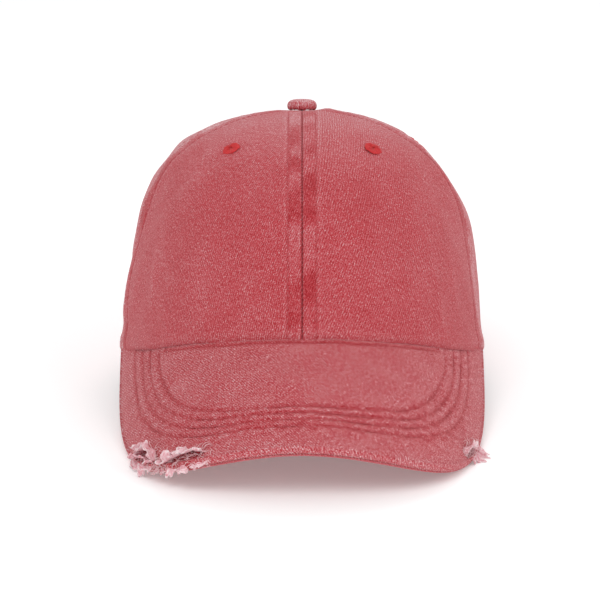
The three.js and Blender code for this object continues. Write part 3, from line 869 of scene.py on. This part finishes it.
def make_visor_cover(top):
    way = 1 if top else -1
    x, y, flat, lift, inset, groove = visor_grid()
    base = visor_point(x / BEND, y, way * lift)
    # outward direction: straight out of the board on the field, turning to sideways round the edge
    normal = grid_normals(base)
    if not top:
        normal = -normal
    out = visor_point(x / BEND, y, way * (lift + 1)) - visor_point(x / BEND, y, way * lift)
    normal = np.where((inset > EDGE_RADIUS - 0.01)[..., None], out, normal)
    normal = unit(normal)
    run = np.broadcast_to(np.pad(edge_run, 2, "edge")[:, None], x.shape)
    pucker = ripple(np.stack([run, inset * 1.3], -1), 7.5, 91 + way)
    fine = ripple(np.stack([run, inset * 1.6], -1), 3.6, 93 + way)
    stitched = (1 - smooth(inset, 33, 40)) * smooth(inset, 5, 12)
    height = -0.28 * bump(groove, 0, 0.85)
    height = height + stitched * (0.10 * pucker + 0.055 * fine) * smooth(groove, 0.2, 1.4)
    height += 0.22 * ripple(flat, 26, 95 + way) * smooth(inset, 6, 20)
    # painted shade: a darker red line along each stitch groove; the puckers beside the rows are paler where
    # they rise
    fade_and_shade = -0.22 * bump(groove, 0, 1.0) * (1 + 0.4 * fine) + stitched * 0.045 * pucker
    fade_and_shade += 0.014 * ripple(flat, 20, 97 + way)
    rub = 1 - smooth(inset, 0.8, 4.2)
    fade_and_shade += rub * 0.03 + 0.04 * (1 - smooth(inset, 3, 9))
    # a dip along the crown's seam, and painted shadow darkening the visor just under the crown's hem
    seam_edge = np.linalg.norm(base - base[:, 2:3], axis=-1)
    height -= 0.3 * bump(seam_edge, 0, 0.9)
    fade_and_shade -= 0.30 * bump(seam_edge, 0, 0.9)
    tear = tear_mask(run, inset) if top else tear_mask(run, inset) * 0.6
    places = np.stack([run, inset], -1)
    ribs = np.sin(2 * math.pi * (run + 0.8 * inset) / 2.0 + 0.8 * ripple(places, 6.0, 101))
    ragged = ripple(places, 3.0, 102)
    border = tear * (1 - tear) * 4
    height += tear * (-0.5 + 0.14 * ribs) + 0.35 * border * (1 + 0.6 * ragged)
    fade_and_shade += tear * (-0.12 + 0.12 * ribs + 0.08 * ragged) + border * (0.18 + 0.12 * ragged)
    from_end = along(base, 0)
    edge = np.minimum(along(base, 1), np.minimum(from_end, from_end[-1:] - from_end))
    drop = edge_drop(edge, 0.35)
    outer = base + normal * (height - drop)[..., None]
    inner = base - normal * (0.8 - drop * 0.8 - np.minimum(height, 0) * 0.15)[..., None]
    points, faces = shell(outer, inner, flip=top)
    cloth = weave_coordinates(flat[..., 0], flat[..., 1], (-38 if top else 40) * DEG)
    name, cad_name, material = ("top", "visor_top_cover", VISOR) if top else \
        ("underside", "visor_bottom_cover", UNDER)
    made = piece(f"visor_cover_{name}", "cap", material, points, faces, both(fade_and_shade),
                 both(cloth), [cad_name])
    even = np.linspace(-1, 1, 801)
    fine_t = np.sign(even) * np.abs(even) ** 1.7
    for k, (a, b) in enumerate(ROWS):
        lx, ly = visor_line(fine_t * 0.985, a, b)
        line = visor_point(lx / BEND, ly, way * (EDGE_RADIUS - 0.26))
        n = unit(visor_point(lx / BEND, ly, way * (EDGE_RADIUS + 1)) - line)
        visor_threads.row(line, n, pitch=3.0, length=2.4, radius=0.22, lift=0.1, seed=300 + k * 2 + way)


make_visor_cover(True)
make_visor_cover(False)
visor_threads.make("visor_stitching", "cap", STITCH)

# ---- torn edge


def edge_place(run, inset, lift):
    """A point over the visor from its distance along the edge, in from the edge and out of the cloth."""
    t = np.interp(run, edge_run, t_columns)
    x, y = visor_line(t, inset, inset)
    return visor_point(x / BEND, y, lift)


def torn_flap(name, root, width, fold, curl, seed, pale=0.0, ruffle=1.0):
    """A frayed ribbon of cloth that stands along a line of (run, inset) points. fold and curl are angles:
    how it leaves the cloth, measured from straight towards the edge, and how much further it has turned
    at its tip."""
    root = np.asarray(root, float)
    knots = np.linspace(0, 1, len(root))
    u = np.linspace(0, 1, 84)
    run, inset = (np.interp(u, knots, root[:, k]) for k in (0, 1))
    for _ in range(10):
        run[1:-1] = (run[:-2] + run[1:-1] * 2 + run[2:]) / 4
        inset[1:-1] = (inset[:-2] + inset[1:-1] * 2 + inset[2:]) / 4
    length = np.hypot(np.diff(run), np.diff(inset)).sum()
    v = np.array([0, 0.06, 0.16, 0.3, 0.44, 0.58, 0.72, 0.84, 0.93, 1.0])
    at = u * length
    wide = width * (0.45 + 0.55 * np.sin(math.pi * u) ** 0.6) * (1 + 0.22 * ripple(at[:, None], 5.0, seed))

    def waves(size, seed):
        return ripple(at[:, None], size, seed)[:, None]

    wide = wide[:, None] * (v[None] + 0.07 * v[None] ** 3 * waves(1.3, seed + 1))
    turn = np.radians(fold + curl * v[None] ** 1.4 + ruffle * 34 * v[None] * waves(5.5, seed + 2))
    step = np.diff(np.concatenate([np.zeros((len(u), 1)), wide], 1), axis=1)
    toward_edge = np.cumsum(step * np.cos(turn), 1)
    rise = np.cumsum(step * np.sin(turn), 1)
    sway = 0.5 * v[None] * waves(3.5, seed + 3)
    grid = edge_place(run[:, None] + sway, inset[:, None] - toward_edge, EDGE_RADIUS + 0.1 + rise)
    grid = rest_on_floor(grid)
    n = grid_normals(grid)
    points, faces = shell(grid + n * 0.2, grid - n * 0.2)
    over = np.broadcast_to(at[:, None], wide.shape)
    mottle = ripple(np.stack([over, 2 * wide], -1), 2.2, seed + 4)
    fade_and_shade = pale - 0.22 * (1 - v[None]) ** 2 + 0.13 * mottle + 0.10 * smooth(v[None], 0.8, 1)
    cloth = weave_coordinates(over, wide, 0.6)
    made = piece(name, "cap", FRAY, points, faces, both(fade_and_shade), both(cloth))


def loose_threads(name, spots, seed):
    """Fringe: each spot is (run, inset, spread, count, length), and its threads curl out of the cloth."""
    rng = np.random.default_rng(seed)
    rings, sides = 12, 4
    points, total = [], 0
    a = np.linspace(0, 2 * math.pi, sides, endpoint=False)
    for run, inset, spread, count, length in spots:
        for _ in range(count):
            r0, i0 = run + rng.normal(0, spread), max(-0.5, inset + rng.normal(0, spread * 0.5))
            heading = rng.uniform(0, 2 * math.pi)
            curve = rng.normal(0, 1.6)
            climb = rng.uniform(0.1, 0.9)
            size = length * rng.uniform(0.4, 1.2)
            t = np.linspace(0, 1, rings)
            way = heading + curve * t
            dr = np.cumsum(np.cos(way)) * size / rings
            di = np.cumsum(np.sin(way)) * size / rings * 0.8
            lift = EDGE_RADIUS - 0.3 + climb * size * np.sin(t * rng.uniform(1.6, 3.0)) * 0.5
            line = edge_place(r0 + dr, np.maximum(i0 + di, -2.5), np.where(i0 + di > 0, lift, lift - 0.6))
            line = rest_on_floor(line)
            tangent = unit(np.gradient(line, axis=0))
            side_way = unit(np.cross(tangent, np.array([0.3, -0.5, 0.8])))[:, None]
            other = np.cross(tangent, side_way[:, 0])[:, None]
            thick = rng.uniform(0.12, 0.22) * (1 - 0.5 * t)[:, None, None]
            ring = np.cos(a)[None, :, None] * side_way + np.sin(a)[None, :, None] * other
            points.append((line[:, None] + thick * ring).reshape(-1, 3))
            total += 1
    piece(name, "cap", LINT, np.concatenate(points), tube_faces(total, rings, sides))


# Each flap's line, width, fold, curl, seed, paleness and ruffle.
FLAPS = {
    # left of the middle, at the corner
    "corner_upper": ([(-90, 2.5), (-88, 6.5), (-83, 8.5), (-78, 7.5), (-74, 3)], 6.2, 58, 50, 501, 0.04, 0.7),
    "corner_middle": ([(-94, 2), (-88, 4), (-81, 4.5), (-74, 2)], 5.0, 48, 40, 515, -0.06, 0.8),
    "corner_lower": ([(-97, 1.0), (-89, 2.0), (-81, 1.8), (-74, 0.8)], 4.0, 5, 15, 511, 0.03, 0.8),
    # left of the middle, along the front
    "front_upper": ([(-68, 1.8), (-62, 3.6), (-56, 6.2), (-50, 7.4), (-44, 5)], 6.8, 44, 40, 521, 0.08, 0.7),
    "front_lower": ([(-71, 1.4), (-64, 2.2), (-56, 1.8), (-48, 2.0), (-42, 1.2)], 4.6, -18, -20, 531, 0.02,
                    0.8),
    # right corner
    "right_corner": ([(91, 4), (94, 6.5), (99, 6), (105, 2.5)], 5.0, 58, 60, 541, 0.06, 0.8),
    "right_edge": ([(96, 1.2), (103, 2.2), (109, 1.8), (114, 0.8)], 5.0, 10, 10, 551, 0.04, 0.8),
}
for name, values in FLAPS.items():
    torn_flap(f"torn_flap_{name}", *values)
loose_threads("frayed_threads_left", [(-92, 4, 3.0, 30, 5), (-82, 5, 4.0, 38, 5), (-71, 2, 4.0, 26, 6),
                                      (-60, 3, 5.0, 46, 6), (-48, 5, 4.0, 36, 5),
                                      (-68, -0.5, 1.5, 10, 8)], 601)
loose_threads("frayed_threads_right", [(95, 4, 2.5, 26, 5), (101, 4, 3.0, 36, 5), (108, 2, 3.0, 26, 6)], 602)

# ---- eyelets and button


def ring_grid(profile, turns, relief, closed=True):
    """Points of a turned shape from (radius, height) points. relief(angle, share) moves it outwards."""
    profile = np.asarray(profile, float)
    loop = np.vstack([profile, profile[:1]]) if closed else profile
    run = np.concatenate([[0], np.cumsum(np.linalg.norm(np.diff(loop, axis=0), axis=1))])
    at = np.linspace(0, run[-1], 44 if closed else 40, endpoint=not closed)
    r, z = np.interp(at, run, loop[:, 0]), np.interp(at, run, loop[:, 1])

    def soften(a):
        if closed:
            return (np.roll(a, 1) + 2 * a + np.roll(a, -1)) / 4
        return np.concatenate([a[:1], (a[:-2] + 2 * a[1:-1] + a[2:]) / 4, a[-1:]])

    for _ in range(2):
        r, z = soften(r), soften(z)
    if closed:
        tr, tz = np.roll(r, -1) - np.roll(r, 1), np.roll(z, -1) - np.roll(z, 1)
    else:
        tr, tz = np.gradient(r), np.gradient(z)
    size = np.hypot(tr, tz) + 1e-9
    nr, nz = tz / size, -tr / size
    angle = np.linspace(0, 2 * math.pi, turns, endpoint=False)[:, None]
    h = relief(angle, at[None] / run[-1])
    rr, zz = r[None] + nr[None] * h, z[None] + nz[None] * h
    return np.stack([rr * np.cos(angle), rr * np.sin(angle), zz], -1)


def ring_faces(grid, closed=True):
    """Faces of a turned shape, whose profile may come back to its first point."""
    n, m = grid.shape[:2]
    index = np.arange(n * m).reshape(n, m)
    if closed:
        index = np.hstack([index, index[:, :1]])
    right = np.roll(index, -1, 0)
    return np.stack([index[:, :-1], right[:, :-1], right[:, 1:], index[:, 1:]], -1).reshape(-1, 4)


def make_eyelet(place, way):
    at, normal, across, up = eyelet_place(way * EYELETS[place])
    rng = np.random.default_rng(int(EYELETS[place] * 100) + way)
    phase = rng.uniform(0, 6)
    # counter-clockwise in (radius, height): up the hole's wall, out over the top and back underneath
    profile = [(3.1, -1.9), (3.8, -1.5), (3.6, -1.15), (2.8, -1.05), (2.75, -0.5), (2.9, -0.15), (4.15, -0.1),
               (4.25, 0.3), (3.7, 0.75), (2.7, 1.05), (1.6, 1.05), (0.8, 0.8), (0.42, 0.2), (0.42, -1.2),
               (1.2, -1.95)]

    def wrapped(angle, share):
        strands = np.abs(np.sin(angle * 19 + phase + 0.6 * np.sin(angle * 3 + phase) + 1.5 * share))
        uneven = 0.14 * np.sin(angle * 5 + phase) + 0.10 * np.sin(angle * 11 + 2 * phase)
        return 0.24 * strands - 0.12 + uneven

    grid = ring_grid(profile, 228, wrapped)
    local = grid.reshape(-1, 3) * np.array([1.06, 0.94, 1])
    points = at + local[:, :1] * across + local[:, 1:2] * up + local[:, 2:] * normal
    side_name = "right" if way > 0 else "left"
    piece(f"embroidered_eyelet_{place}_{side_name}", "cap", BRIGHT, points, ring_faces(grid),
          replaces=[f"eyelet_{place}_{side_name}"])


for place in EYELETS:
    for way in (1, -1):
        make_eyelet(place, way)


def make_button():
    radius, height = 7.0, 5.4
    dome = [(0.02, height)]
    for k in range(1, 9):
        t = k / 8 * math.pi / 2
        dome.append((radius * math.sin(t) ** 0.72, 2.1 + (height - 2.1) * math.cos(t) ** 0.72))
    lower = [(radius - 0.1, 1.2), (radius - 0.5, 0.35), (radius - 1.5, 0.06), (radius - 2.2, 0.25)]
    lining = [(radius - 1.5, 1.1), (radius - 0.85, 2.0), (radius - 1.2, 3.2), (radius - 2.4, 4.1),
              (0.02, height - 0.8)]

    def gathered(angle, share):
        share = 1 - share
        pleats = np.sin(angle * 13 + 0.8 * np.sin(angle * 3))
        uneven = 0.05 * np.sin(angle * 4 + 1) * smooth(share, 0.1, 0.4)
        return pleats * 0.16 * bump(share, 0.50, 0.10) + uneven

    grid = ring_grid((dome + lower + lining)[::-1], 120, gathered, closed=False)
    local = grid.reshape(-1, 3)
    # paler towards the top of the dome; painted shade darkens its lowest 3 mm, under the dome's bulge
    fade_and_shade = 0.16 * smooth(local[:, 2], 3.2, 5.2) - 0.22 * (1 - smooth(local[:, 2], 0.8, 2.8))
    piece("covered_button", "cap", SIDE, local + np.array([0, 0, H]),
          ring_faces(grid, closed=False), fade_and_shade, local * np.array([1, 1, 0.7]), ["button_cover"])


make_button()

# ---- tapes, binding and sweatband

inside_threads = Threads()
LEAST_STRIP = 0.0101  # metres, just over the least side that a sheet's flat size may have


def strip(name, base, thickness, body, material, replaces, lean=0.0, relief=None, rows=(), wave_seed=1,
          thread=inside_threads, fade_edge=0.06, radius=0.3, wave=0.07, proud=0.25):
    """A strip of cloth from a grid of its outer face, with stitch rows at distances from its long edges."""
    n = grid_normals(base)
    run, width = along(base, 0), along(base, 1)
    total = width[:, -1:]
    height = wave * ripple(np.stack([run, width * 2], -1), 9, wave_seed)
    for d in rows:
        height -= 0.16 * (bump(width, d, 0.5) + bump(total - width, d, 0.5))
    if relief is not None:
        height = height + relief(run, width, total)
    edge = np.minimum(np.minimum(width, total - width), np.minimum(run, run[-1:] - run))
    drop = edge_drop(edge, min(radius, thickness * 0.45))
    outer = base + n * (height - drop)[..., None]
    inner = base + n * (height - thickness + drop)[..., None]
    points, faces = shell(outer, inner)
    mottle = ripple(np.stack([run, width], -1), 11, wave_seed + 1)
    fade_and_shade = fade_edge * (1 - smooth(edge, 0.2, 1.4)) + 0.04 * mottle
    cloth = weave_coordinates(run, width, lean)
    made = piece(name, body, material, points, faces, both(fade_and_shade), both(cloth), replaces)
    short, long = sorted((float(total.max()), float(run[-1].max())))
    short, long = max(short / 1000, LEAST_STRIP), long / 1000
    for face_way, depth in ((1, 0.0), (-1, -thickness)):
        surface = base + n * (height + depth)[..., None]
        for d in rows:
            for step, distance in ((1, width), (-1, total - width)):
                line, line_n = (crossing(distance[:, ::step], d, kind[:, ::step]) for kind in (surface, n))
                thread.row(line, line_n * face_way, pitch=3.0, length=2.3, radius=0.2, lift=proud,
                           seed=wave_seed + 9)


TAPE_HALF, TAPE_INSET, TAPE_MITRE = 6.5, 1.5, 22 * DEG
tapes = {
    "front_centre": (0.0, SEAM_RISE + 1.0),
    "front_right": (FRONT_SEAM, 1.0), "front_left": (-FRONT_SEAM, 1.0),
    "back_right": (BACK_SEAM, 1.0), "back_left": (-BACK_SEAM, 1.0), "back_centre": (math.pi, ARCH_H + 10.0),
}
for k, (place, (angle, bottom)) in enumerate(tapes.items()):
    rows = elevation_at(angle, bottom) + (elevation_at_radius(angle, 7.0) - elevation_at(angle, bottom)) \
        * np.linspace(0, 1, 70)
    middle = crown_point(np.full(70, angle), rows)
    radius = np.hypot(middle[:, 0], middle[:, 1])
    half = np.minimum(TAPE_HALF, radius * math.tan(TAPE_MITRE) - 0.4)
    share = np.concatenate([[-1, -0.97, -0.9, -0.8], np.linspace(-0.7, 0.7, 9), [0.8, 0.9, 0.97, 1]])
    base = crown_point(angle + share[:, None] * (half / radius)[None], rows[None], TAPE_INSET + 0.05)
    strip(f"seam_tape_cloth_{place}", base.transpose(1, 0, 2)[::-1], 0.6, "cap", TAPE,
          [f"seam_tape_{place}"], rows=(1.3,), wave_seed=400 + k)

t = np.linspace(0, math.pi, 150)[:, None]
out = 0.4 + closing(0, 9, 8)[None]
angle = math.pi - (ARCH_W + out) / A * np.cos(t)
z = np.maximum(1.0, (ARCH_H + out) * np.sin(t))
base = crown_point(angle, elevation_at(angle, z), 1.45)
strip("arch_binding_cloth", base[::-1], 0.5, "cap", TAPE, ["back_opening_binding"],
      rows=(1.3,), wave_seed=420)

BAND_H, BAND_T = 32.0, 1.3
end = math.pi - ARCH_ANGLE - 0.03
angle = (end * closing(-1, 1, 190, unit_size=0.006))[:, None]
z = rim_height(angle) + 1.0 + closing(0, BAND_H, 20)[None]
pocket = smooth(np.abs(angle), 85 * DEG, 118 * DEG)
inset = 2.75 + (8.2 - 2.7) * pocket
out = shrink(angle, z)
base = np.stack([(A * out - inset) * np.sin(angle), -(B * out - inset) * np.cos(angle), z + 0 * angle], -1)


def band_relief(run, width, total):
    fold = -0.25 * bump(width, 4.0, 0.7) + 0.12 * smooth(width, 0, 2) * (1 - smooth(width, 2, 4))
    return fold + 0.10 * ripple(np.stack([run, width], -1), 18, 431)


strip("sweatband_cloth", base, BAND_T - 0.1, "cap", BAND, ["sweatband"], lean=50 * DEG,
      relief=band_relief, rows=(2.0,), wave_seed=430, radius=0.5)

# ---- strap and loop

STRAP_Y, STRAP_R, STRAP_T, STRAP_LOW, STRAP_W = 28.0, 70.7, 1.6, 4.4, 19.0
STRAP_END = 53 * DEG
BUCKLE_TURN, BUCKLE_R = 12 * DEG, 69.1
LOOP_X, LOOP_Y = 13.6, 2.8


def strap_point(turn, radius, z):
    turn, radius, z = np.broadcast_arrays(turn, radius, z)
    return np.stack([radius * np.sin(turn), STRAP_Y + radius * np.cos(turn), z], -1).astype(float)


strap_threads = Threads()
turn = (STRAP_END * closing(1, -1, 110, fine=(0, -0.002, -0.005, -0.01, -0.018)))[:, None]
z = STRAP_LOW + closing(0, STRAP_W, 16)[None]
base = strap_point(turn, STRAP_R - 0.12, z)


def strap_relief(run, width, total):
    """Sewn edges that stand a little higher than the middle."""
    relief = -0.06
    for d in (width, total - width):
        relief = relief + 0.16 * smooth(d, 0.3, 1.2) * (1 - smooth(d, 2.2, 3.4))
    return relief - 0.08


strip("strap_cloth", base, STRAP_T - 0.24, "strap", SIDE, ["strap"], lean=55 * DEG,
      relief=strap_relief, rows=(2.2,), wave_seed=450, thread=strap_threads, radius=0.6, wave=0.02,
      proud=0.02)
strap_threads.make("strap_stitching", "strap", STITCH)

bar_r = math.hypot(BUCKLE_R + LOOP_Y, LOOP_X)
bar_turn = BUCKLE_TURN + math.atan2(LOOP_X, BUCKLE_R + LOOP_Y)
ring_radius = 0.8 + 0.75  # middle of the cloth, round the bar
under = bar_r - ring_radius
tail = np.linspace(50 * DEG, bar_turn, 30)
path = [(under * math.sin(a), under * math.cos(a)) for a in tail]
centre = np.array([bar_r * math.sin(bar_turn), bar_r * math.cos(bar_turn)])
radial = centre / bar_r
side_way = np.array([radial[1], -radial[0]])
for a in np.linspace(0, 300 * DEG, 34)[1:]:
    path.append(tuple(centre - ring_radius * math.cos(a) * radial - ring_radius * math.sin(a) * side_way))
path = np.array(path)
run = np.concatenate([[0], np.cumsum(np.linalg.norm(np.diff(path, axis=0), axis=1))])
at = closing(0, run[-1], 80, fine=(0, 0.08, 0.2, 0.4))
path = np.stack([np.interp(at, run, path[:, k]) for k in (0, 1)], -1)
z = STRAP_LOW + 1.5 + closing(0, STRAP_W - 3, 14)
base = np.stack(np.broadcast_arrays(path[:, :1], STRAP_Y + path[:, 1:], z[None]), -1)
base = base + grid_normals(base) * 0.30
strip("buckle_loop_cloth", base, 0.60, "cap", SIDE, ["buckle_loop"], lean=55 * DEG,
      rows=(1.8,), wave_seed=460, radius=0.25, wave=0.02, proud=0.05)
inside_threads.make("inside_stitching", "cap", STITCH)

# ---- carried-over hard parts

for names, material in ((("buckle_frame", "buckle_lever", "buckle_pin"), BRASS),
                        (("button_shell", "button_back_plate"), STEEL), (("visor_board",), BOARD)):
    for name in names:
        for place in frame["nodes"][name].material_slots:
            place.material = material
